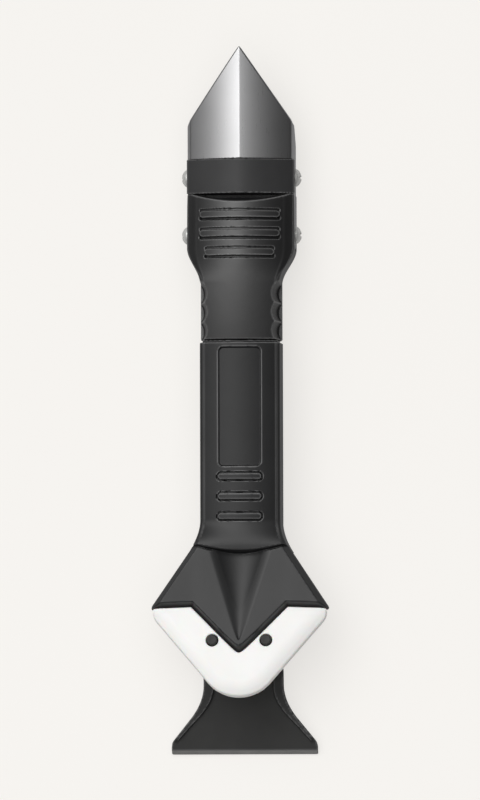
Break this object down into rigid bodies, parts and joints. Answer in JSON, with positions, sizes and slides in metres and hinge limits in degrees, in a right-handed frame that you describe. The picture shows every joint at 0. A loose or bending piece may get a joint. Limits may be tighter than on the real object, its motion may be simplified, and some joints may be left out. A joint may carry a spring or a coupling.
{
  "type": "sealant removing and finishing tool",
  "caption": "Hand tool with a folded steel scraper blade at one end, a white silicone smoothing pad under an arrow-shaped head and a flared plastic scraper at the other.",
  "frame": {"origin": "centre of the footprint, on the plane the tool's back rests on", "axes": "+Y along the tool towards the steel point, +Z out of the front face, +X to the right as seen from the front with the steel point up"},
  "size_m": [0.0536, 0.215, 0.0302],
  "materials": {
    "blade_steel": "brushed",
    "screw_steel": "satin",
    "black_plastic": "satin",
    "scraper_plastic": "satin",
    "peg_plastic": "satin",
    "white_silicone": "satin"
  },
  "bodies": {
    "handle": {"handle_front_shell": "black_plastic", "handle_rear_shell": "scraper_plastic", "handle_screw_1": "screw_steel", "handle_screw_2": "screw_steel", "handle_screw_3": "screw_steel", "handle_screw_4": "screw_steel", "pad_support": "black_plastic", "pad_peg_left": "peg_plastic", "pad_peg_right": "peg_plastic"},
    "cap": {"cap": "black_plastic", "blade_holder": "black_plastic", "blade": "blade_steel", "blade_screw_front_left": "screw_steel", "blade_screw_front_right": "screw_steel", "blade_screw_rear_left": "screw_steel", "blade_screw_rear_right": "screw_steel"},
    "pad": {"finishing_pad": "white_silicone"}
  },
  "joints": [
    {"name": "cap_pull_off", "type": "slide", "parent": "handle", "child": "cap", "axis": [0, 1, 0], "range_m": [0, 0.04]},
    {"name": "pad_lift_off", "type": "slide", "parent": "handle", "child": "pad", "axis": [0, 0.2079, 0.9781], "range_m": [0, 0.012]}
  ]
}
